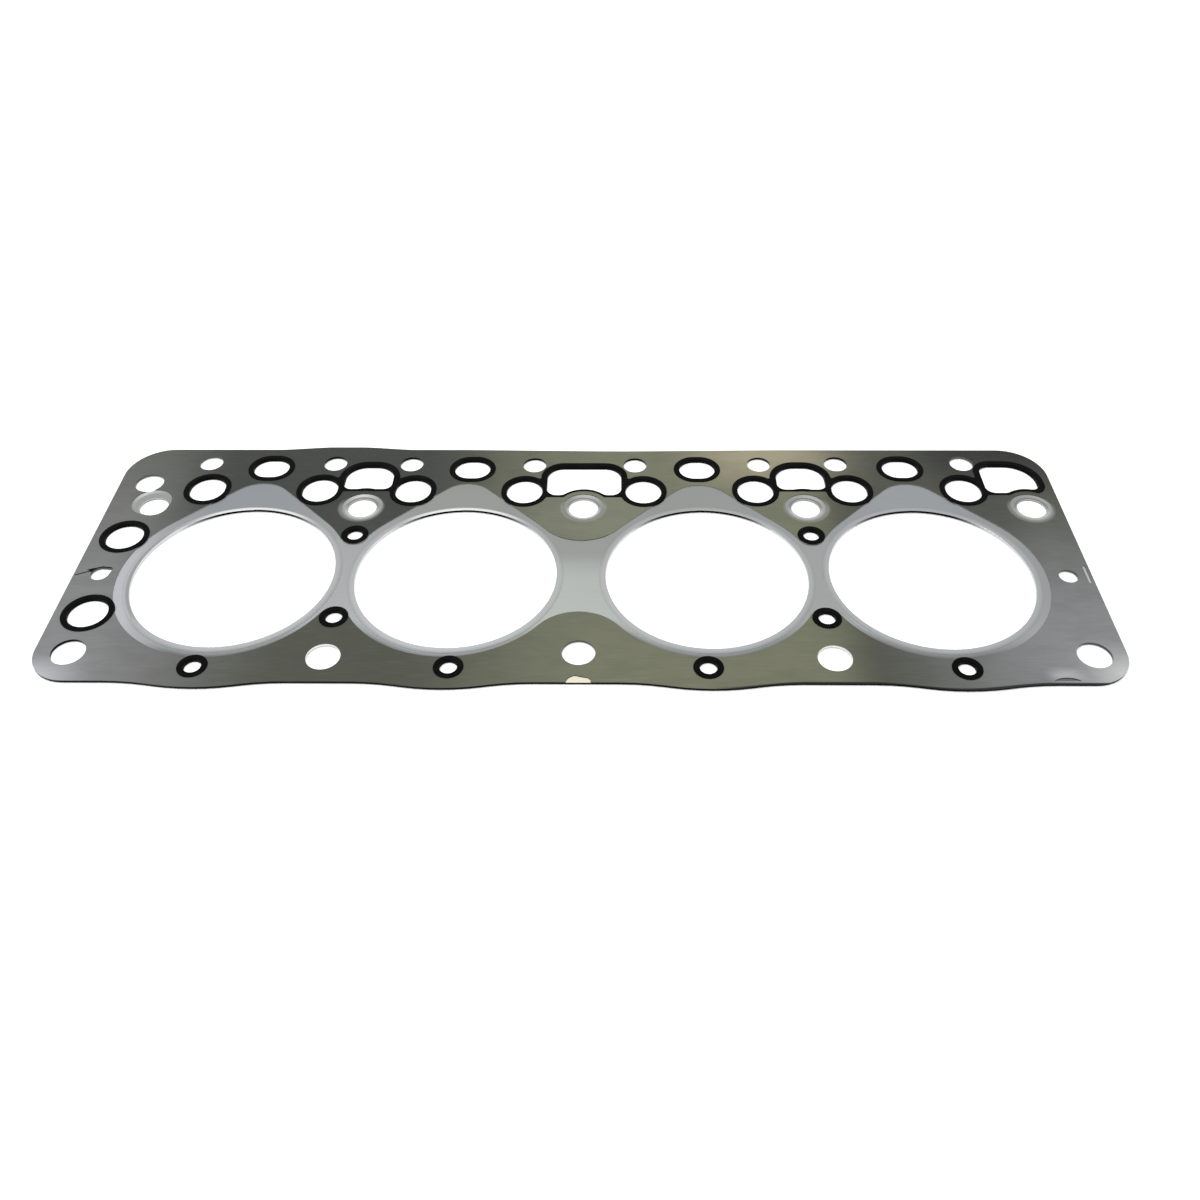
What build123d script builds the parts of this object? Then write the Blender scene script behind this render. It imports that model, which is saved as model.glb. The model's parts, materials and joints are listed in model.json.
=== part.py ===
"""Cylinder head gasket for a four-cylinder overhead-valve diesel engine.

Three steel sheets lie on each other: a bare core plate between two thin coated
sheets. A folded steel eyelet wraps the core round each cylinder bore, and a
moulded rubber seal grips all three sheets round each oil, coolant and pushrod
opening. Millimetres, +Z up. X runs along the bores and Y across the engine, with
the pushrod side at +Y. The origin is half-way between the second and third bores,
on the plane of the gasket's lower sheet.
"""

import math
import os

from build123d import *

# Sheets, from the cylinder block upwards
SHEET = 0.3
CORE = 0.9
CORE_LOW = SHEET
CORE_HIGH = SHEET + CORE
STACK = CORE_HIGH + SHEET

# Cylinder bores: two close pairs with a wider web between the pairs
BORE_R = 53.5
MIDDLE_PITCH = 133.0
PAIR_PITCH = 118.5
BORE_X = [
    -MIDDLE_PITCH / 2 - PAIR_PITCH,
    -MIDDLE_PITCH / 2,
    MIDDLE_PITCH / 2,
    MIDDLE_PITCH / 2 + PAIR_PITCH,
]
PAIR_WEB_X = (MIDDLE_PITCH + PAIR_PITCH) / 2

# Folded eyelet round each bore
EYELET_SHEET = 0.35
EYELET_R = 57.2
EYELET_FOLD_R = 0.32

# Outline
LEFT_X = -270.6
RIGHT_X = 269.6
FRONT_Y = -76.2
REAR_Y = 110.6
FRONT_CORNER_R = 20.5
REAR_CORNER_R = 24.5
BULGE_DEPTH = 5.5
BULGE_FOOT = 33.5
BULGE_X = [-186.0, -66.0, 65.0, 187.0]
BULGE_FOOT_R = 130.0
BULGE_CROWN_R = 120.0
REAR_HOLLOW = (20.0, 109.2)
REAR_HOLLOW_HALF = 90.0
REAR_HOLLOW_R = 1200.0
REAR_BUMP_X = -143.0
REAR_BUMP_HEIGHT = 2.5
REAR_BUMP_FOOT = 38.0
REAR_BUMP_TOP = 12.0
REAR_BUMP_BLEND_R = 90.0

# Head bolts. The left rear one is set inwards, so that the gasket fits one way only.
FRONT_BOLT_R = 8.6
MIDDLE_BOLT_R = 8.4
REAR_BOLT_R = 8.1
MIDDLE_BOLT_Y = 56.4
FRONT_END_BOLT = (253.4, -57.2)
FRONT_PAIR_BOLT = (126.0, -59.8)
REAR_END_BOLT = (253.0, 56.8)
REAR_PAIR_BOLT = (125.7, 56.5)
SHIFTED_BOLT = (-244.7, 56.8)
FRONT_BOLTS = [
    (side * x, y, FRONT_BOLT_R) for x, y in (FRONT_END_BOLT, FRONT_PAIR_BOLT) for side in (-1, 1)
] + [(0, -MIDDLE_BOLT_Y, MIDDLE_BOLT_R)]
REAR_BOLTS = [
    (*SHIFTED_BOLT, REAR_BOLT_R),
    (-REAR_PAIR_BOLT[0], REAR_PAIR_BOLT[1], REAR_BOLT_R),
    (0, MIDDLE_BOLT_Y, MIDDLE_BOLT_R),
    (*REAR_PAIR_BOLT, REAR_BOLT_R),
    (*REAR_END_BOLT, REAR_BOLT_R),
]

# Dished seats round the rear bolts, coined into the core below a wider hole in the upper sheet
DISH_R = 11.9
DISH_FOOT_R = 9.6
DISH_FLOOR = CORE / 2
SHIFTED_DISH = (-247.0, 60.6)
SHIFTED_DISH_R = 11.2
DISHES = [(x, y, DISH_R) for x, y, _ in REAR_BOLTS[1:]] + [(*SHIFTED_DISH, SHIFTED_DISH_R)]

# Plain holes with bare steel edges
VENT_R = 6.8
VENT_PAIRS = [(29.6, 95.6), (102.6, 96.4), (148.0, 96.9), (222.2, 97.4)]
OIL_HOLE = (-253.5, 78.2)
OIL_HOLE_R = 8.2
END_HOLES = [(-256.7, 0.2), (257.1, 0.0)]
END_HOLE_R = 5.0
TORN_CORNER = (-250.7, 4.4)

# Openings with moulded seals
PUSHROD_WIDTH = 20.6
PUSHROD_LENGTH = 22.0
MIDDLE_PUSHROD = (34.2, 70.8)
INNER_PUSHROD = (98.6, 71.4)
OUTER_PUSHROD = (152.6, 71.9)
END_PUSHROD = (218.0, 72.4)
COOLANT_WIDTH = 21.0
COOLANT_HEIGHT = 17.7
COOLANT_PLACES = [(-185.1, 92.3), (-66.0, 91.4), (66.0, 91.4), (185.1, 92.3)]
SIDE_HOLE_R = 10.4
SIDE_HOLE_X = -253.0
SIDE_HOLE_Y = [-29.7, 30.3]
JET_R = 4.4
WEB_JETS = [
    (-PAIR_WEB_X, 32.3),
    (PAIR_WEB_X, 32.3),
    (-PAIR_WEB_X, -32.1),
    (PAIR_WEB_X, -32.1),
]
FRONT_JETS = [(-189.0, -66.5), (-63.4, -66.5), (63.6, -66.3), (189.1, -66.5)]

# Slots between the pushrod openings, each hollowed round the bolt in front of it
PAIR_SLOT_X = 125.6
PAIR_SLOT_HALF = 14.1
PAIR_SLOT_Y = (72.4, 94.7)
PAIR_SLOT_FRONT_R = 5.0
PAIR_SLOT_REAR_R = 11.5
PAIR_SLOT_HUMP_R = 16.7
MIDDLE_SLOT_HALF = 21.5
MIDDLE_SLOT_Y = (67.0, 93.6)
MIDDLE_SLOT_FRONT_R = 6.0
MIDDLE_SLOT_REAR_R = 9.5
MIDDLE_SLOT_HUMP_R = 16.0
MIDDLE_SLOT_FOOT_R = 5.0
END_SLOT_X = (230.9, 262.0)
END_SLOT_Y = (69.6, 96.0)
END_SLOT_FRONT_R = 5.5
END_SLOT_FOOT_R = 4.0
END_SLOT_HUMP_R = 16.4
END_SLOT_SIDE_R = 4.5
END_SLOT_SHOULDER_R = 15.5
END_SLOT_REAR_R = 7.0

# Moulded seal section: a wall through the sheets, with a bevelled lip above and below
WALL = 1.8
LIP = 3.1
LIP_HEIGHT = 0.45
LIP_BEVEL = 0.2
LIP_CORNER_R = 0.9
SLOT_LIP = 3.6
SLOT_FRONT_LIP = 1.5
SLOT_FRONT_WALL = 0.8
BOLT_CLEAR_R = 14.6
MIDDLE_BOLT_CLEAR_R = 14.7

# Window in the coated sheets, which leaves the core bare round the bores. Each bore's part of
# it is a disc (x, y, radius) that runs up to a narrower crown at the given height.
WINDOW_Y = 0.2
MIDDLE_WINDOW_R = 59.8
WINDOWS = [
    (-186.2, WINDOW_Y, 60.6, 78.0),
    (-67.4, WINDOW_Y, MIDDLE_WINDOW_R, 78.0),
    (66.2, WINDOW_Y, MIDDLE_WINDOW_R, 76.8),
    (185.6, WINDOW_Y, 60.4, 78.0),
]
WINDOW_FLANK = math.radians(45)
WEB_WINDOW_HALF = 7.0
WEB_WINDOW_Y = 30.0
MIDDLE_LOBE_Y = 27.8

# A nick, a scrape and a lance near the upper sheet's edge and a tear beside its left hole,
# which all show the core
EDGE_NICK = [
    (-5.7, -77.5),
    (-5.7, -75.2),
    (-4.4, -73.2),
    (-2.2, -71.8),
    (-0.4, -71.9),
    (1.2, -72.4),
    (4.8, -73.2),
    (6.2, -74.4),
    (6.3, -77.5),
]
SCRAPE = (267.2, 1.4)
SCRAPE_LENGTH = 13.6
SCRAPE_WIDTH = 1.5
LANCE = (235.5, -74.2)
LANCE_HALF = 6.6
LANCE_DEPTH = 2.1
TEAR = [(-264.6, 3.3), (-257.0, 5.9), (-251.2, 5.1), (-256.7, 1.0), (-261.4, 0.9)]
TEAR_SLIT = ((-269.3, -0.9), (-262.4, 2.2))
TEAR_SLIT_WIDTH = 0.9


def plate(sketch, low, high):
    """A flat sheet of the sketch's shape between two heights."""
    return Pos(0, 0, low) * extrude(sketch, high - low)


def rounded(face, radii):
    """Round the face's corners; radii lists (x, y, radius), one for each corner."""
    for x, y, radius in radii:
        corner = face.vertices().sort_by_distance((x, y, 0))[0]
        face = fillet(corner, radius)
    return face


def discs(places, radius):
    """Equal discs centred on the places."""
    return Sketch() + [Pos(x, y) * Circle(radius) for x, y in places]


def sized_discs(places):
    """Discs given as (x, y, radius)."""
    return Sketch() + [Pos(x, y) * Circle(radius) for x, y, radius in places]


def outline():
    """The outer edge: four low bulges at the front, one at the rear beside a long hollow."""
    points = [(LEFT_X, FRONT_Y)]
    corners = [(LEFT_X, FRONT_Y, FRONT_CORNER_R)]
    for x in BULGE_X:
        crown = (x, FRONT_Y - BULGE_DEPTH)
        feet = [(x - BULGE_FOOT, FRONT_Y), (x + BULGE_FOOT, FRONT_Y)]
        points += [feet[0], crown, feet[1]]
        corners.append((*crown, BULGE_CROWN_R))
        corners += [(*foot, BULGE_FOOT_R) for foot in feet]
    bump = [
        (REAR_BUMP_X + REAR_BUMP_FOOT, REAR_Y),
        (REAR_BUMP_X + REAR_BUMP_TOP, REAR_Y + REAR_BUMP_HEIGHT),
        (REAR_BUMP_X - REAR_BUMP_TOP, REAR_Y + REAR_BUMP_HEIGHT),
        (REAR_BUMP_X - REAR_BUMP_FOOT, REAR_Y),
    ]
    hollow = [
        (REAR_HOLLOW[0] + REAR_HOLLOW_HALF, REAR_Y),
        REAR_HOLLOW,
        (REAR_HOLLOW[0] - REAR_HOLLOW_HALF, REAR_Y),
    ]
    points += [(RIGHT_X, FRONT_Y), (RIGHT_X, REAR_Y), *hollow, *bump, (LEFT_X, REAR_Y)]
    corners.append((RIGHT_X, FRONT_Y, FRONT_CORNER_R))
    corners += [(x, REAR_Y, REAR_CORNER_R) for x in (LEFT_X, RIGHT_X)]
    corners += [(*point, REAR_HOLLOW_R) for point in hollow]
    corners += [(*point, REAR_BUMP_BLEND_R) for point in bump]
    return rounded(make_face(Polyline(*points, close=True)), corners)


def pushrod_opening(side, place):
    """An opening that is longer across the engine, because the pushrod swings in it."""
    x, y = place
    return Pos(side * x, y) * SlotOverall(PUSHROD_LENGTH, PUSHROD_WIDTH, rotation=90)


def pair_slot(side):
    """A domed slot whose front edge follows the bolt in front of it."""
    low, high = PAIR_SLOT_Y
    x = side * PAIR_SLOT_X
    left, right = x - PAIR_SLOT_HALF, x + PAIR_SLOT_HALF
    face = rounded(
        make_face(Polyline((left, low), (right, low), (right, high), (left, high), close=True)),
        [
            (left, low, PAIR_SLOT_FRONT_R),
            (right, low, PAIR_SLOT_FRONT_R),
            (left, high, PAIR_SLOT_REAR_R),
            (right, high, PAIR_SLOT_REAR_R),
        ],
    )
    return face - Pos(side * REAR_PAIR_BOLT[0], REAR_PAIR_BOLT[1]) * Circle(PAIR_SLOT_HUMP_R)


def middle_slot():
    """The wide slot in the middle, with a hump in its front edge round the bolt."""
    low, high = MIDDLE_SLOT_Y
    half = MIDDLE_SLOT_HALF
    foot = math.sqrt(MIDDLE_SLOT_HUMP_R**2 - (low - MIDDLE_BOLT_Y) ** 2)
    face = make_face(
        Polyline((-half, low), (half, low), (half, high), (-half, high), close=True)
    ) - Pos(0, MIDDLE_BOLT_Y) * Circle(MIDDLE_SLOT_HUMP_R)
    return rounded(
        face.faces()[0],
        [
            (-half, low, MIDDLE_SLOT_FRONT_R),
            (half, low, MIDDLE_SLOT_FRONT_R),
            (-half, high, MIDDLE_SLOT_REAR_R),
            (half, high, MIDDLE_SLOT_REAR_R),
            (-foot, low, MIDDLE_SLOT_FOOT_R),
            (foot, low, MIDDLE_SLOT_FOOT_R),
        ],
    )


def end_slot():
    """The slot at the right end: a deep lobe at its left and a sloping right shoulder."""
    left, right = END_SLOT_X
    low, high = END_SLOT_Y
    bolt_x, bolt_y = REAR_END_BOLT
    foot_x = bolt_x - math.sqrt(END_SLOT_HUMP_R**2 - (low - bolt_y) ** 2)
    side_y = bolt_y + math.sqrt(END_SLOT_HUMP_R**2 - (right - bolt_x) ** 2)
    face = make_face(
        Polyline((left, low), (right, low), (right, high), (left, high), close=True)
    ) - Pos(*REAR_END_BOLT) * Circle(END_SLOT_HUMP_R)
    return rounded(
        face.faces()[0],
        [
            (left, low, END_SLOT_FRONT_R),
            (foot_x, low, END_SLOT_FOOT_R),
            (right, side_y, END_SLOT_SIDE_R),
            (right, high, END_SLOT_SHOULDER_R),
            (left, high, END_SLOT_REAR_R),
        ],
    )


def grown(face, margin):
    """The face with its edge moved outwards by the margin, corners rounded."""
    return offset(face, margin, kind=Kind.ARC)


def slot_margin(slot, margin, front_margin):
    """A margin round a slot that is narrower along its front edge, beside the bolt."""
    box = slot.bounding_box()
    front = box.min.Y - front_margin
    depth = box.max.Y + 2 * margin - front
    keep = Pos(box.center().X, front + depth / 2) * Rectangle(box.size.X + 4 * margin, depth)
    return grown(slot, margin) & keep


def seal_shapes():
    """Each seal's name with its openings, each as (opening, hole in the sheets, lip)."""

    def even(opening):
        return opening, grown(opening, WALL), grown(opening, LIP)

    def slotted(slot, bolt_x, bolt_y, bolt_clear):
        bolt_land = Pos(bolt_x, bolt_y) * Circle(bolt_clear)
        wall_land = Pos(bolt_x, bolt_y) * Circle(bolt_clear + SLOT_FRONT_WALL)
        hole = slot_margin(slot, WALL, SLOT_FRONT_WALL) - wall_land
        lip = slot_margin(slot, SLOT_LIP, SLOT_FRONT_LIP) - bolt_land
        return slot, hole + slot, lip + slot

    shapes = {}
    for side, name in ((-1, "left"), (1, "right")):
        bolt_x, bolt_y = REAR_PAIR_BOLT
        shapes[f"pushrod_seal_{name}"] = [
            even(pushrod_opening(side, INNER_PUSHROD)),
            slotted(pair_slot(side), side * bolt_x, bolt_y, BOLT_CLEAR_R),
            even(pushrod_opening(side, OUTER_PUSHROD)),
        ]
    shapes["pushrod_seal_middle"] = [
        even(pushrod_opening(-1, MIDDLE_PUSHROD)),
        slotted(middle_slot(), 0, MIDDLE_BOLT_Y, MIDDLE_BOLT_CLEAR_R),
        even(pushrod_opening(1, MIDDLE_PUSHROD)),
    ]
    shapes["pushrod_seal_right_end"] = [
        even(pushrod_opening(1, END_PUSHROD)),
        slotted(end_slot(), *REAR_END_BOLT, BOLT_CLEAR_R),
    ]
    shapes["pushrod_seal_left_end"] = [even(pushrod_opening(-1, END_PUSHROD))]
    for number, place in enumerate(COOLANT_PLACES, 1):
        oval = Pos(*place) * SlotOverall(COOLANT_WIDTH, COOLANT_HEIGHT)
        shapes[f"coolant_seal_{number}"] = [even(oval)]
    for name, y in zip(("front", "rear"), SIDE_HOLE_Y):
        shapes[f"end_coolant_seal_{name}"] = [even(Pos(SIDE_HOLE_X, y) * Circle(SIDE_HOLE_R))]
    for number, (x, y) in enumerate(WEB_JETS, 1):
        shapes[f"web_jet_seal_{number}"] = [even(Pos(x, y) * Circle(JET_R))]
    for number, (x, y) in enumerate(FRONT_JETS, 1):
        shapes[f"front_jet_seal_{number}"] = [even(Pos(x, y) * Circle(JET_R))]
    return shapes


def joined(faces):
    """One sketch from several overlapping faces."""
    total = Sketch()
    for face in faces:
        total += face
    return total


def softened(sketch):
    """Round the sketch's sharp corners, first the inner ones and then the outer ones."""
    for step in (LIP_CORNER_R, -LIP_CORNER_R, -LIP_CORNER_R, LIP_CORNER_R):
        sketch = offset(sketch, step, kind=Kind.ARC)
    return sketch


def seal(parts):
    """A moulded seal: walls through the sheets and a bevelled lip on each outer face."""
    openings = joined(part[0] for part in parts)
    holes = joined(part[1] for part in parts)
    lips = softened(joined(part[2] for part in parts)) - openings
    lip = plate(lips, 0, LIP_HEIGHT)
    lip = chamfer(lip.edges().group_by(Axis.Z)[-1], LIP_BEVEL)
    return plate(holes - openings, 0, STACK) + Pos(0, 0, STACK) * lip + mirror(lip, Plane.XY)


def eyelet(x):
    """A thin steel ring folded over the core's edge at a bore, open outwards."""
    low = CORE_LOW - EYELET_SHEET
    high = CORE_HIGH + EYELET_SHEET
    width = EYELET_R - BORE_R
    section = Pos(BORE_R + width / 2, (low + high) / 2) * Rectangle(width, high - low)
    folds = section.vertices().group_by(Axis.X)[0]
    section = fillet(folds, EYELET_FOLD_R)
    slot_width = width - EYELET_SHEET
    section -= Pos(EYELET_R - slot_width / 2, (low + high) / 2) * Rectangle(slot_width, CORE)
    return Pos(x, 0, 0) * revolve(Plane.XZ * section, Axis.Z)


def window_part(x, y, radius, top):
    """One bore's part of the window: its disc, the crown behind it and the flanks between."""
    reach = y + radius / math.cos(WINDOW_FLANK)
    crown_r = (reach - top) / (1 / math.cos(WINDOW_FLANK) - 1)
    crown_y = top - crown_r
    flanks = []
    for disc_y, disc_r in ((y, radius), (crown_y, crown_r)):
        across = disc_r * math.sin(WINDOW_FLANK)
        touch_y = disc_y + disc_r * math.cos(WINDOW_FLANK)
        flanks += [(x - across, touch_y), (x + across, touch_y)]
    near_left, near_right, far_left, far_right = flanks
    part = make_face(Polyline(near_left, near_right, far_right, far_left, close=True))
    return sized_discs([(x, y, radius), (x, crown_y, crown_r)]) + part


def bare_window(lands):
    """The opening in each coated sheet round all four bores, less the lands of small seals."""
    window = joined(window_part(*part) for part in WINDOWS)
    for x in (-PAIR_WEB_X, PAIR_WEB_X):
        window += Pos(x, 0) * Rectangle(2 * WEB_WINDOW_HALF, 2 * WEB_WINDOW_Y)
    half = (WINDOWS[2][0] - WINDOWS[1][0]) / 2
    middle = (WINDOWS[2][0] + WINDOWS[1][0]) / 2
    lobe_r = (half**2 + MIDDLE_LOBE_Y**2 - MIDDLE_WINDOW_R**2) / (
        2 * (MIDDLE_WINDOW_R - MIDDLE_LOBE_Y)
    )
    lobe_y = MIDDLE_LOBE_Y + lobe_r
    share = MIDDLE_WINDOW_R / (MIDDLE_WINDOW_R + lobe_r)
    touch_x = half * (1 - share)
    touch_y = lobe_y * share
    web = Rectangle(2 * touch_x, 2 * touch_y) - discs([(0, lobe_y), (0, -lobe_y)], lobe_r)
    return window + Pos(middle, WINDOW_Y) * web - lands


def through_holes(seals):
    """The openings that all three sheets share: seals, vents, oil hole and front bolts."""
    holes = joined(part[1] for parts in seals.values() for part in parts)
    holes += sized_discs(FRONT_BOLTS)
    holes += discs([(side * x, y) for x, y in VENT_PAIRS for side in (-1, 1)], VENT_R)
    holes += discs([OIL_HOLE], OIL_HOLE_R)
    return holes + discs(END_HOLES, END_HOLE_R) + torn_corner()


def torn_corner():
    """The corner that a tear has pulled out of the left end hole's edge."""
    x, y = END_HOLES[0]
    reach = math.dist(END_HOLES[0], TORN_CORNER)
    ahead = math.atan2(TORN_CORNER[1] - y, TORN_CORNER[0] - x)
    turn = math.acos(END_HOLE_R / reach)
    touches = [
        (x + END_HOLE_R * math.cos(angle), y + END_HOLE_R * math.sin(angle))
        for angle in (ahead - turn, ahead + turn)
    ]
    return make_face(Polyline(touches[0], TORN_CORNER, touches[1], (x, y), close=True))


def crescent(half, depth):
    """A flat circular segment: chord along X, arc towards +Y."""
    radius = (half**2 + depth**2) / (2 * depth)
    cap = Rectangle(2 * half, depth, align=(Align.CENTER, Align.MIN))
    return (Pos(0, depth - radius) * Circle(radius)) & cap


def upper_marks():
    """A nick, a scrape, a lance and a tear in the upper sheet only."""
    marks = make_face(Polyline(*EDGE_NICK, close=True))
    marks += Pos(*SCRAPE) * SlotOverall(SCRAPE_LENGTH, SCRAPE_WIDTH, rotation=90)
    marks += Pos(*LANCE) * crescent(LANCE_HALF, LANCE_DEPTH)
    slit = SlotCenterToCenter(math.dist(*TEAR_SLIT), TEAR_SLIT_WIDTH)
    (start_x, start_y), (end_x, end_y) = TEAR_SLIT
    slope = math.degrees(math.atan2(end_y - start_y, end_x - start_x))
    marks += Pos((start_x + end_x) / 2, (start_y + end_y) / 2) * Rot(0, 0, slope) * slit
    return marks + make_face(Polyline(*TEAR, close=True))


def core_plate(edge, holes):
    """The bare middle sheet, with dished seats round the rear bolts."""
    openings = holes + discs([(x, 0) for x in BORE_X], BORE_R + EYELET_SHEET)
    openings += sized_discs(REAR_BOLTS)
    core = plate(edge - openings, CORE_LOW, CORE_HIGH)
    depth = CORE - DISH_FLOOR
    for x, y, radius in DISHES:
        foot_r = radius - DISH_R + DISH_FOOT_R
        core -= Pos(x, y, CORE_HIGH - depth / 2) * Cone(foot_r, radius, depth)
    return core


def main():
    os.makedirs("parts", exist_ok=True)
    seals = seal_shapes()
    edge = outline()
    holes = through_holes(seals)
    lands = discs(WEB_JETS + FRONT_JETS, JET_R + LIP)
    faced = edge - bare_window(lands) - holes
    lower = faced - sized_discs(REAR_BOLTS)
    upper = faced - sized_discs(DISHES + REAR_BOLTS[:1]) - upper_marks()

    nodes = {
        "lower_sheet": plate(lower, 0, SHEET),
        "core_plate": core_plate(edge, holes),
        "upper_sheet": plate(upper, CORE_HIGH, STACK),
    }
    for number, x in enumerate(BORE_X, 1):
        nodes[f"bore_eyelet_{number}"] = eyelet(x)
    for name, parts in seals.items():
        nodes[name] = seal(parts)
    for name, shape in nodes.items():
        export_step(shape, f"parts/{name}.step")


if __name__ == "__main__":
    main()
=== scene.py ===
"""Finishes, floor, light and camera for a four-cylinder diesel's cylinder head gasket.

Metres, +Z up: X runs along the row of bores and +Y towards the pushrod side. The finishes
measure the gasket in millimetres.
"""

import json
import math

import bmesh
import bpy
from mathutils import Matrix, Vector


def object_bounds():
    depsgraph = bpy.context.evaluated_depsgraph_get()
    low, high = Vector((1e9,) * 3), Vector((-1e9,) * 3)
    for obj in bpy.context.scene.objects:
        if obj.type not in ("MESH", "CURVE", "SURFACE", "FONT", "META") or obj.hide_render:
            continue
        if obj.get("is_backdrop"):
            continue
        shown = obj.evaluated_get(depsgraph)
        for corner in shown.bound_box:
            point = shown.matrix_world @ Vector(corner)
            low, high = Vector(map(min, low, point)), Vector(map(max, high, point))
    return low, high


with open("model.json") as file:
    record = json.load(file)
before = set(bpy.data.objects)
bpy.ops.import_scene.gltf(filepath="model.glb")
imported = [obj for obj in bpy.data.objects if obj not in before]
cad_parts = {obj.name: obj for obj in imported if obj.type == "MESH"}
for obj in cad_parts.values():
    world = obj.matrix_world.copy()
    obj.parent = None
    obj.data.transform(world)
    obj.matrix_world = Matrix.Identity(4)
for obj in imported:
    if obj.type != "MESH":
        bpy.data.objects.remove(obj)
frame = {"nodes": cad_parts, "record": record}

MM = 0.001
FRAME_LOW, FRAME_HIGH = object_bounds()

# Real sizes that the finishes follow, in millimetres. The bores stand in two pairs, each with a
# web in its middle. Round each bore lie an eyelet and a window in the coat, crowned at the rear
PAIR_WEB_X = 125.75
BORE_FROM_PAIR_WEB = 59.25
BORE_R = 53.5
EYELET_R = 57.2
WINDOW_R = 60.4
CROWN_TOP = 78.6

# The core's upper face, and the dished seats pressed into it at the rear bolts
CORE_TOP = 1.2
DISH_FLOOR = 0.75
DISH_R = 11.9
REAR_BOLT_Y = 56.5
REAR_BOLT_PITCH = 126.2

# The front edge, which bulges before each bore, and half a bulge's width
FRONT_HOLLOW_Y = -76.2
FRONT_BULGE_Y = -80.1
BULGE_HALF = 44.0

# Rolled grain and mottle as streaks, each a length and a width. Real rolling marks are only
# 0.05 mm wide, and are drawn coarser so that they show
COAT_GRAIN = (12.0, 0.7)
COAT_MOTTLE = (22.0, 9.0)
BARE_GRAIN = (16.0, 0.5)

# In metres: the depth of a finish's fine relief, half the floor's side, and how far the floor
# lies below the gasket, so that their faces don't flicker
RELIEF = 0.02 * MM
FLOOR_HALF = 3.0
FLOOR_GAP = 0.02 * MM
FLOOR_GLOW = 0.35

# The room's even brightness, and what it gains towards the floor and straight overhead. Each
# gain grows from 0 to its last number between the first two heights of a direction
ROOM_LEVEL = 0.84
ROOM_GAINS = ((0.2, 0.0, 0.1), (0.78, 1.0, 0.55))

# The soft panel: its place and size in metres and its power in watts
PANEL_AT = Vector((-0.3, 0.1, 1.2))
PANEL_SIZE = (1.2, 0.8)
PANEL_POWER = 6.0

# The viewing position in metres, its turns in degrees, and the lens and its film in millimetres
EYE = Vector((0.0174, -0.4353, 0.4034))
PAN = 0.99
TILT = 44.0
ROLL = -0.54
LENS = 33.53
SENSOR = 36.0


def linear(hex_colour):
    """The linear colour of an sRGB hex value."""
    channels = [int(hex_colour[i : i + 2], 16) / 255 for i in (1, 3, 5)]
    curve = [c / 12.92 if c <= 0.04045 else ((c + 0.055) / 1.055) ** 2.4 for c in channels]
    return (*curve, 1.0)


def add(tree, kind, inputs=None, output=0, **settings):
    """Add a node with its settings, set or feed its inputs, and return one of its outputs.

    Inputs and the output are named, or numbered among those that the settings leave in use.
    """
    node = tree.nodes.new(kind)
    for name, value in settings.items():
        setattr(node, name, value)
    ins, outs = ([s for s in sockets if s.enabled] for sockets in (node.inputs, node.outputs))
    for key, value in (inputs or {}).items():
        socket = ins[key] if isinstance(key, int) else next(s for s in ins if s.name == key)
        if isinstance(value, bpy.types.NodeSocket):
            tree.links.new(value, socket)
        else:
            socket.default_value = value
    if not outs:
        return None
    return outs[output] if isinstance(output, int) else next(s for s in outs if s.name == output)


def surface(name, **sockets):
    """A material with one shader, its node tree and that shader."""
    material = bpy.data.materials.new(name)
    material.use_nodes = True
    tree = material.node_tree
    shader = tree.nodes["Principled BSDF"]
    for socket, value in sockets.items():
        shader.inputs[socket.replace("_", " ")].default_value = value
    return material, tree, shader


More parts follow.
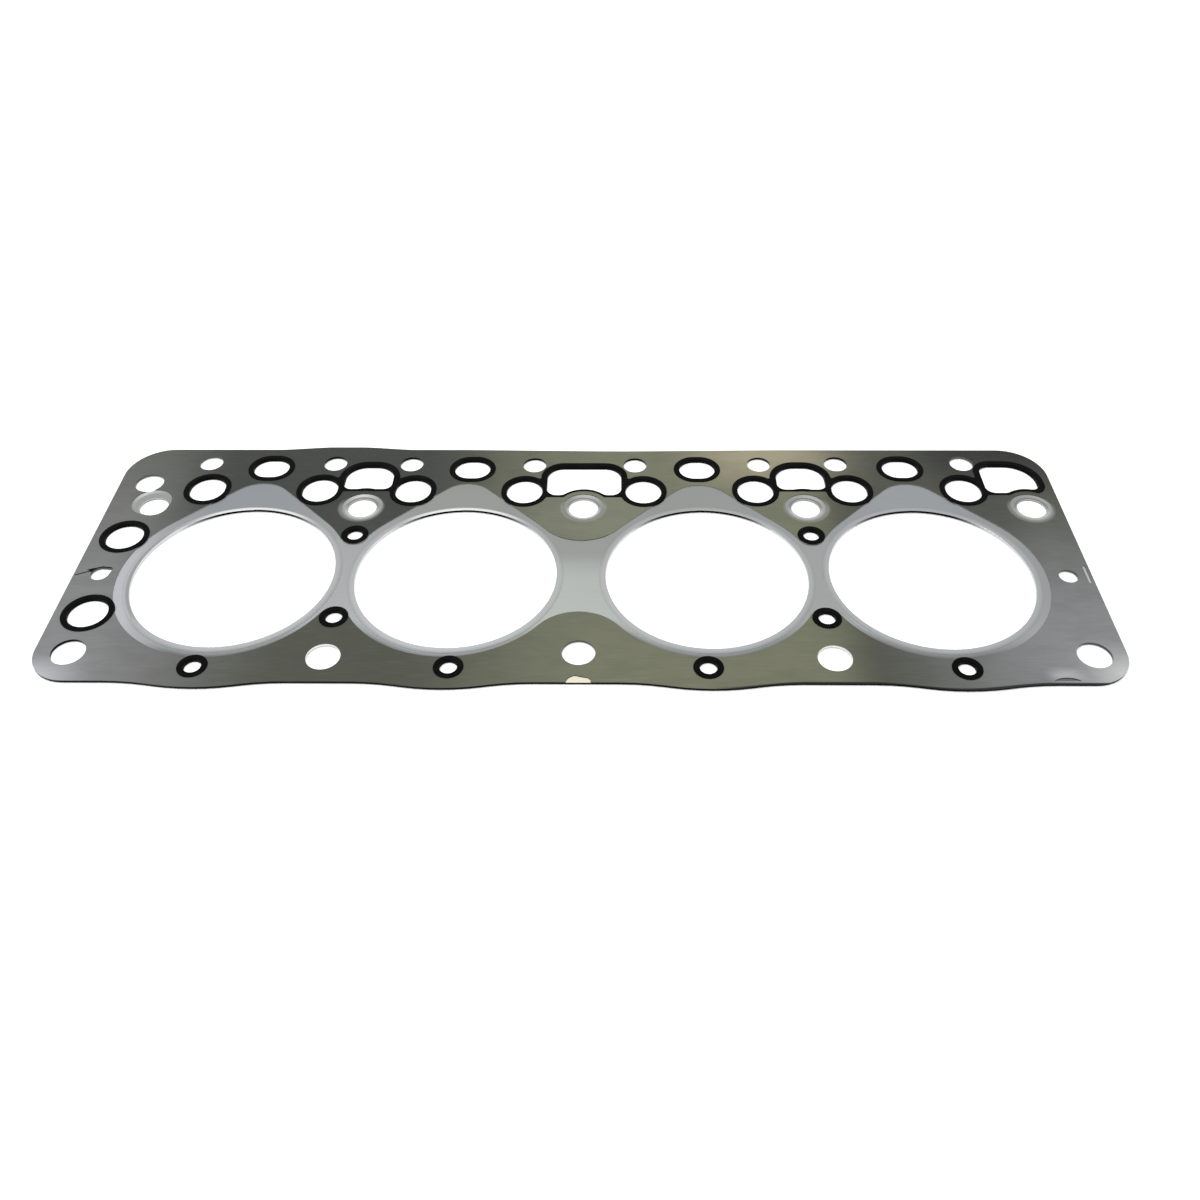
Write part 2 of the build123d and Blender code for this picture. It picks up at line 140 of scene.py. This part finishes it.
def measures(tree):
    """What the finishes follow: where a point is on the gasket, in millimetres, and how it faces.

    along and across are X and Y and height is Z. middle is the distance from the middle of
    the gasket, web that from the nearer pair's web, lane that from the nearest bore's
    centreline and radius that from its axis. seat is the distance from the axis of the nearest
    rear bolt, and rim that from the front edge, which bulges in front of each bore. level is 1
    on a flat face and 0 on a wall.
    """
    point = add(tree, "ShaderNodeTexCoord", output="Object")
    point = add(tree, "ShaderNodeVectorMath", {0: point, "Scale": 1 / MM}, operation="SCALE")
    along, across, height = add(tree, "ShaderNodeSeparateXYZ", {0: point}).node.outputs
    middle = add(tree, "ShaderNodeMath", {0: along}, operation="ABSOLUTE")
    web = add(tree, "ShaderNodeMath", {0: middle, 1: PAIR_WEB_X}, operation="SUBTRACT")
    web = add(tree, "ShaderNodeMath", {0: web}, operation="ABSOLUTE")
    lane = add(tree, "ShaderNodeMath", {0: web, 1: BORE_FROM_PAIR_WEB}, operation="SUBTRACT")
    lane = add(tree, "ShaderNodeMath", {0: lane}, operation="ABSOLUTE")
    spoke = add(tree, "ShaderNodeCombineXYZ", {"X": lane, "Y": across})
    radius = add(tree, "ShaderNodeVectorMath", {0: spoke}, output="Value", operation="LENGTH")
    repeat = {0: middle, 1: REAR_BOLT_PITCH / 2}
    bolt_x = add(tree, "ShaderNodeMath", repeat, operation="PINGPONG")
    bolt_y = add(tree, "ShaderNodeMath", {0: across, 1: REAR_BOLT_Y}, operation="SUBTRACT")
    spoke = add(tree, "ShaderNodeCombineXYZ", {"X": bolt_x, "Y": bolt_y})
    seat = add(tree, "ShaderNodeVectorMath", {0: spoke}, output="Value", operation="LENGTH")
    bulge = {
        "Value": lane,
        "From Min": 0.0,
        "From Max": BULGE_HALF,
        "To Min": FRONT_BULGE_Y,
        "To Max": FRONT_HOLLOW_Y,
    }
    edge = add(tree, "ShaderNodeMapRange", bulge, interpolation_type="SMOOTHSTEP")
    rim = add(tree, "ShaderNodeMath", {0: across, 1: edge}, operation="SUBTRACT")
    normal = add(tree, "ShaderNodeTexCoord", output="Normal")
    upward = add(tree, "ShaderNodeSeparateXYZ", {0: normal}, output="Z")
    level = add(tree, "ShaderNodeMath", {0: upward}, operation="ABSOLUTE")
    return {
        "point": point,
        "along": along,
        "across": across,
        "height": height,
        "middle": middle,
        "web": web,
        "lane": lane,
        "radius": radius,
        "seat": seat,
        "rim": rim,
        "level": level,
    }


def streaks(tree, place, length, width):
    """Rolled grain along X: a noise from 0 to 1 with streaks of the given size."""
    scale = (1 / length, 1 / width, 1 / width)
    stretched = add(tree, "ShaderNodeMapping", {"Vector": place["point"], "Scale": scale})
    return add(
        tree,
        "ShaderNodeTexNoise",
        {"Vector": stretched, "Scale": 1.0, "Detail": 3.0, "Roughness": 0.6},
    )


def zone(tree, place, amount, spans):
    """How much of a zone a point is in: each span (measure, start, end) rises from 0 to 1."""
    share = amount
    for measure, start, end in spans:
        rise = add(
            tree,
            "ShaderNodeMapRange",
            {"Value": place[measure], "From Min": start, "From Max": end},
            interpolation_type="SMOOTHSTEP",
        )
        share = add(tree, "ShaderNodeMath", {0: share, 1: rise}, operation="MULTIPLY")
    return share


def painted(tree, place, tone, zones):
    """The tone with each zone (colour, amount, spans) painted over it in turn."""
    for colour, amount, spans in zones:
        share = zone(tree, place, amount, spans)
        paint = {"Factor": share, "A": tone, "B": linear(colour)}
        tone = add(tree, "ShaderNodeMix", paint, data_type="RGBA")
    return tone


def box(low_x, high_x, low_y, high_y, soft):
    """Spans of a soft-edged rectangle on the gasket."""
    return [
        ("along", low_x - soft, low_x + soft),
        ("along", high_x + soft, high_x - soft),
        ("across", low_y - soft, low_y + soft),
        ("across", high_y + soft, high_y - soft),
    ]


def colour_and_gloss(tree, shader, tone, pattern, low, high):
    """Give a surface its tone, and a roughness that runs from low to high with a pattern."""
    tree.links.new(tone, shader.inputs["Base Color"])
    gloss = {"Value": pattern, "To Min": low, "To Max": high}
    tree.links.new(add(tree, "ShaderNodeMapRange", gloss), shader.inputs["Roughness"])


def relief(tree, shader, pattern, strength):
    """Raise a surface finely with a pattern."""
    bump = {"Height": pattern, "Strength": strength, "Distance": RELIEF}
    tree.links.new(add(tree, "ShaderNodeBump", bump), shader.inputs["Normal"])


# Spans of a sheared wall and of a flat face
WALL = ("level", 0.5, 0.25)
FACE = ("level", 0.6, 0.9)


def hole_wall_shade_and_highlight():
    """Painted shade and highlights on the walls of the front bolt holes and the vents, the same in
    coat and core.
    """
    front = [WALL, ("across", -45, -48), ("across", -72, -70)]
    return [
        ("#D8D8D6", 1.0, [*front, ("web", 11, 10)]),
        ("#050505", 1.0, [*front, ("along", -236, -240)]),
        ("#4C4C4C", 1.0, [*front, ("along", 236, 240)]),
        ("#0B0A08", 1.0, [WALL, ("middle", 160, 156), ("across", 84, 86), ("across", 106, 104)]),
    ]


def coated_steel():
    """Steel sheet with a thin baked nitrile coat: satin and olive, with the room's reflection
    painted into its colour, grey at the ends.
    """
    material, tree, shader = surface(
        "nitrile_coated_steel", Metallic=0.0, IOR=1.45, Specular_IOR_Level=0.2
    )
    place = measures(tree)
    place["grain"] = streaks(tree, place, *COAT_GRAIN)
    place["mottle"] = streaks(tree, place, *COAT_MOTTLE)
    tone = painted(
        tree,
        place,
        linear("#46483F"),
        [
            # The coat's olive cast, strongest over the middle bores, where a painted reflection of
            # the room also lightens it
            ("#6A6C59", 1.0, [("along", -100, 20), ("along", 152, 118)]),
            ("#9A9C94", 0.12, [("middle", 60, 20), ("across", 10, 40), ("across", 85, 65)]),
            # Painted reflection of the room: both ends greyer, with painted highlights on the front
            # corners
            ("#7B7C7D", 1.0, [("along", -140, -270), ("across", 190, -70)]),
            ("#7E8082", 1.0, [("along", 135, 255), ("across", 85, -60)]),
            ("#BABBC0", 1.0, [("along", -232, -268), ("across", -54, -80)]),
            ("#C6C6C5", 1.0, [("along", 236, 268), ("across", -44, -80)]),
            # Painted reflection of the room: darker along the rear, with one warm painted highlight
            ("#353835", 1.0, [("along", -45, -105), ("along", -258, -200), ("across", -20, 62)]),
            ("#222321", 1.0, [("along", 175, 225), ("across", 62, 112)]),
            ("#2D2E2C", 0.35, [("along", 195, 215), ("along", 255, 232), ("across", 5, 45)]),
            ("#938D76", 1.0, [("along", 40, 100), ("along", 176, 110), ("across", 60, 104)]),
            # A painted highlight rings the seats, and a painted shadow blackens the right of the
            # front edge
            (
                "#A0A29E",
                0.4,
                [("seat", DISH_R + 1.9, DISH_R), ("across", 66, 56), ("along", -200, -190)],
            ),
            ("#0A0805", 0.9, [("rim", 1.1, 0.5), ("along", 60, 85), FACE]),
            # A painted highlight where the lance has lifted the sheet
            ("#C6C8C8", 0.8, box(229, 243, -72, -69, 5)),
            # Rolling marks show through the coat, which is a little uneven itself
            ("#26282A", 0.07, [("grain", 0.35, 0.7)]),
            ("#A8A9A2", 0.04, [("grain", 0.5, 0.25)]),
            ("#2E302E", 0.1, [("mottle", 0.4, 0.65)]),
            # Sheared edges: painted shade makes them black in front, and painted highlights make
            # them bright at the window edges
            ("#5A5B56", 1.0, [WALL]),
            ("#020202", 1.0, [WALL, ("across", -66, -72)]),
            ("#8C8E8C", 1.0, [WALL, ("radius", WINDOW_R + 2, WINDOW_R + 1)]),
            ("#8C8E8C", 1.0, [WALL, ("lane", 49, 46), ("radius", CROWN_TOP + 1, CROWN_TOP)]),
            *hole_wall_shade_and_highlight(),
        ],
    )
    colour_and_gloss(tree, shader, tone, place["grain"], 0.4, 0.52)
    relief(tree, shader, place["grain"], 0.05)
    return material


def bare_tone_and_reflection(tree, place):
    """Bare stainless steel's colour with painted reflections of the room, which the core and the
    eyelets share; it follows the grain.
    """
    return painted(
        tree,
        place,
        linear("#A2A6A6"),
        [
            # Painted reflection of the room: pale in front, slate behind
            ("#B0B3B4", 0.8, [("across", -10, -50)]),
            ("#999DA1", 1.0, [("across", 38, 58)]),
            ("#9B9E99", 1.0, [("across", 38, 58), ("middle", 118, 96)]),
            ("#A3A7AA", 1.0, [("across", 38, 58), ("along", 20, 180)]),
            ("#A8AAAA", 1.0, [("web", 11, 8), ("across", 52, 45)]),
            ("#9C9F9B", 1.0, [("middle", 36, 22), ("across", 5, 20)]),
            ("#B4B9B5", 1.0, [("middle", 50, 34), ("across", 18, -4)]),
            ("#C0C1C6", 1.0, [("along", -222, -236), ("across", 48, 10)]),
            # Painted shade: round the front of each bore it darkens towards the coat
            (
                "#666866",
                0.95,
                [
                    ("radius", BORE_R + 1.5, WINDOW_R + 0.3),
                    ("across", -30, -52),
                    ("along", -225, -200),
                    ("along", 232, 196),
                ],
            ),
            ("#7D8184", 0.12, [("grain", 0.35, 0.7)]),
        ],
    )


def bare_steel():
    """Bare cold-rolled stainless core: pale, with fine grain along its length."""
    material, tree, shader = surface("rolled_stainless_steel", Metallic=1.0)
    place = measures(tree)
    place["grain"] = streaks(tree, place, *BARE_GRAIN)
    seat_slope = [("height", CORE_TOP - 0.01, CORE_TOP - 0.08), FACE]
    seat_floor = [("height", DISH_FLOOR + 0.04, DISH_FLOOR + 0.01), FACE]
    tone = painted(
        tree,
        place,
        bare_tone_and_reflection(tree, place),
        [
            # Painted reflection on each bolt seat: light and dark bands on its slope, and its floor
            # white in front and grey behind
            ("#ABACA9", 1.0, seat_slope),
            ("#6E6F6A", 0.9, [*seat_slope, ("height", CORE_TOP - 0.25, CORE_TOP - 0.03)]),
            ("#A0A29F", 1.0, [*seat_slope, ("across", 54, 62)]),
            ("#8C8E8C", 0.6, [*seat_slope, ("middle", 40, 30)]),
            ("#C4C5C3", 1.0, seat_floor),
            ("#8E8F8D", 1.0, [*seat_floor, ("across", 52, 60)]),
            ("#A4A6A5", 0.9, [("along", -232, -236), ("across", 44, 46), FACE]),
            # Bright metal in the nick and the scrape; painted shade in the tear and under the lance
            ("#DDD8C4", 1.0, box(-8, 8, -80, -70, 0.5)),
            ("#C4C6C5", 1.0, box(264, 271, -8, 11, 0.5)),
            ("#6C6C6C", 1.0, box(227, 244, -76, -71, 0.5)),
            ("#4C4E4E", 1.0, box(-272, -264, -4, 7, 1.0)),
            ("#121212", 1.0, box(-264, -250, -6, 7, 1.0)),
            # Sheared edges: painted shade makes them black in front, and painted highlights make
            # them bright at the rear bolts
            ("#55554F", 1.0, [WALL]),
            ("#020202", 1.0, [WALL, ("across", -66, -72)]),
            ("#B8B9B7", 1.0, [WALL, ("across", 40, 44), ("across", 70, 68)]),
            *hole_wall_shade_and_highlight(),
        ],
    )
    colour_and_gloss(tree, shader, tone, place["grain"], 0.3, 0.42)
    relief(tree, shader, place["grain"], 0.08)
    return material


def eyelet_steel():
    """Drawn stainless eyelet: the core's colour, with a painted highlight on its fold and painted
    shade on its far wall.
    """
    material, tree, shader = surface("drawn_stainless_steel", Metallic=1.0)
    place = measures(tree)
    place["grain"] = streaks(tree, place, *BARE_GRAIN)
    # Drawing marks run round the bore, one every 0.5 mm
    turns = add(tree, "ShaderNodeMath", {0: place["radius"], 1: 2.0}, operation="MULTIPLY")
    rings = {"W": turns, "Scale": 1.0, "Detail": 2.0}
    place["rings"] = add(tree, "ShaderNodeTexNoise", rings, noise_dimensions="1D")
    fold = [("radius", BORE_R + 2.4, BORE_R + 1.6), ("across", 40, 53)]
    inside = ("radius", BORE_R + 0.7, BORE_R + 0.4)
    tone = painted(
        tree,
        place,
        bare_tone_and_reflection(tree, place),
        [
            # Painted highlights: a light band over the flange and the fold bright at the rear, most
            # at the left bores, with drawing marks through them; painted shade on the left rim of
            # the end bore
            ("#C4C6C7", 0.7, [("radius", EYELET_R + 0.3, BORE_R + 0.8)]),
            ("#8F9396", 0.25, [("rings", 0.4, 0.7)]),
            ("#F6F6F6", 0.95, [*fold, ("along", 20, -20)]),
            ("#B6B8B8", 0.8, [*fold, ("along", 20, 60)]),
            ("#9EA0A2", 0.9, [("radius", BORE_R + 2.4, BORE_R + 1.2), ("along", -224, -232)]),
            # The flange's outer edge catches the light
            ("#F2F2F2", 1.0, [WALL, ("radius", EYELET_R - 0.6, EYELET_R - 0.3)]),
            # Painted highlight on the bore wall at the sides, and painted shade on its far side
            ("#C4C5C6", 1.0, [WALL, inside]),
            ("#060606", 1.0, [("height", 1.56, 1.46), inside, ("across", 34, 50)]),
        ],
    )
    colour_and_gloss(tree, shader, tone, place["rings"], 0.24, 0.34)
    return material


def seal_rubber():
    """Moulded black nitrile rubber: nearly black, with a weak sheen on its bevels."""
    material, tree, shader = surface(
        "moulded_nitrile_rubber", IOR=1.5, Specular_IOR_Level=0.04
    )
    place = measures(tree)
    # The mould's spark-eroded skin is 0.3 mm coarse; bloom clouds it over some 6 mm
    skin = {"Vector": place["point"], "Scale": 1 / 0.3, "Detail": 2.0}
    bloom = {"Vector": place["point"], "Scale": 1 / 6.0, "Detail": 3.0}
    skin, place["bloom"] = (add(tree, "ShaderNodeTexNoise", noise) for noise in (skin, bloom))
    tone = painted(tree, place, linear("#020202"), [("#0B0B0B", 1.0, [("bloom", 0.45, 0.75)])])
    colour_and_gloss(tree, shader, tone, place["bloom"], 0.42, 0.6)
    relief(tree, shader, skin, 0.12)
    return material


def dress_nodes():
    """Give each modelled piece the finish of its material slot."""
    finishes = {
        "coated_steel": coated_steel(),
        "bare_steel": bare_steel(),
        "eyelet_steel": eyelet_steel(),
        "moulded_rubber": seal_rubber(),
    }
    for part in frame["record"]["subparts"]:
        for slot in frame["nodes"][part["node"]].material_slots:
            slot.material = finishes[part["material_slot"]]


def white_floor():
    """A white sweep that the gasket lies on; it keeps the gasket's soft shadow."""
    shape = bmesh.new()
    lie = Matrix.Translation((0.0, 0.0, FRAME_LOW.z - FLOOR_GAP))
    bmesh.ops.create_grid(shape, x_segments=1, y_segments=1, size=FLOOR_HALF, matrix=lie)
    mesh = bpy.data.meshes.new("floor")
    shape.to_mesh(mesh)
    shape.free()
    floor = bpy.data.objects.new("floor", mesh)
    bpy.context.collection.objects.link(floor)
    material, tree, shader = surface("white_floor", Roughness=0.9, Specular_IOR_Level=0.0)
    shader.inputs["Base Color"].default_value = linear("#F0F0F0")
    shader.inputs["Emission Color"].default_value = linear("#FFFFFF")
    # It glows only to the camera and in mirrors, and so adds no soft light of its own
    seen = 0.0
    for ray in ("Is Camera Ray", "Is Glossy Ray", "Is Transmission Ray"):
        shown = {0: seen, 1: add(tree, "ShaderNodeLightPath", output=ray)}
        seen = add(tree, "ShaderNodeMath", shown, operation="MAXIMUM")
    glow = add(tree, "ShaderNodeMath", {0: seen, 1: FLOOR_GLOW}, operation="MULTIPLY")
    tree.links.new(glow, shader.inputs["Emission Strength"])
    mesh.materials.append(material)
    floor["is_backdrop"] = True


def studio_light():
    """A white room, brightest straight overhead, and a large soft panel aimed at the gasket."""
    world = bpy.data.worlds.new("studio")
    bpy.context.scene.world = world
    world.use_nodes = True
    tree = world.node_tree
    tree.nodes.clear()
    direction = add(tree, "ShaderNodeTexCoord", output="Generated")
    height = add(tree, "ShaderNodeSeparateXYZ", {0: direction}, output="Z")
    level = ROOM_LEVEL
    for start, end, gain in ROOM_GAINS:
        lift = {"Value": height, "From Min": start, "From Max": end, "To Max": gain}
        lift = add(tree, "ShaderNodeMapRange", lift, interpolation_type="SMOOTHSTEP")
        level = add(tree, "ShaderNodeMath", {0: level, 1: lift}, operation="ADD")
    # Seen past the floor, the room is plain white
    direct = add(tree, "ShaderNodeLightPath", output="Is Camera Ray")
    level = add(tree, "ShaderNodeMix", {"Factor": direct, "A": level, "B": 1.0}, data_type="FLOAT")
    shine = add(tree, "ShaderNodeBackground", {"Color": linear("#FFFFFF"), "Strength": level})
    add(tree, "ShaderNodeOutputWorld", {"Surface": shine})

    panel = bpy.data.lights.new("soft_panel", "AREA")
    panel.shape = "RECTANGLE"
    panel.size, panel.size_y = PANEL_SIZE
    panel.energy = PANEL_POWER
    lamp = bpy.data.objects.new("soft_panel", panel)
    lamp.location = PANEL_AT
    lamp.rotation_euler = (-PANEL_AT).to_track_quat("-Z", "Y").to_euler()
    bpy.context.collection.objects.link(lamp)


def viewing_camera():
    """The camera, turned by its pan, tilt and roll."""
    data = bpy.data.cameras.new("camera")
    data.lens = LENS
    data.sensor_width = SENSOR
    data.clip_start = 0.01
    data.clip_end = 20.0
    camera = bpy.data.objects.new("camera", data)
    turn = Matrix.Rotation(math.radians(PAN), 4, "Z")
    turn = turn @ Matrix.Rotation(math.radians(90.0 - TILT), 4, "X")
    turn = turn @ Matrix.Rotation(math.radians(ROLL), 4, "Z")
    camera.matrix_world = Matrix.Translation(EYE) @ turn
    bpy.context.collection.objects.link(camera)
    bpy.context.scene.camera = camera


dress_nodes()
white_floor()
studio_light()
viewing_camera()
bpy.context.scene.view_settings.view_transform = "Standard"

boxes = {"frame": (FRAME_LOW, FRAME_HIGH), "visual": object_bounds()}
{name: [list(corner) for corner in pair] for name, pair in boxes.items()}
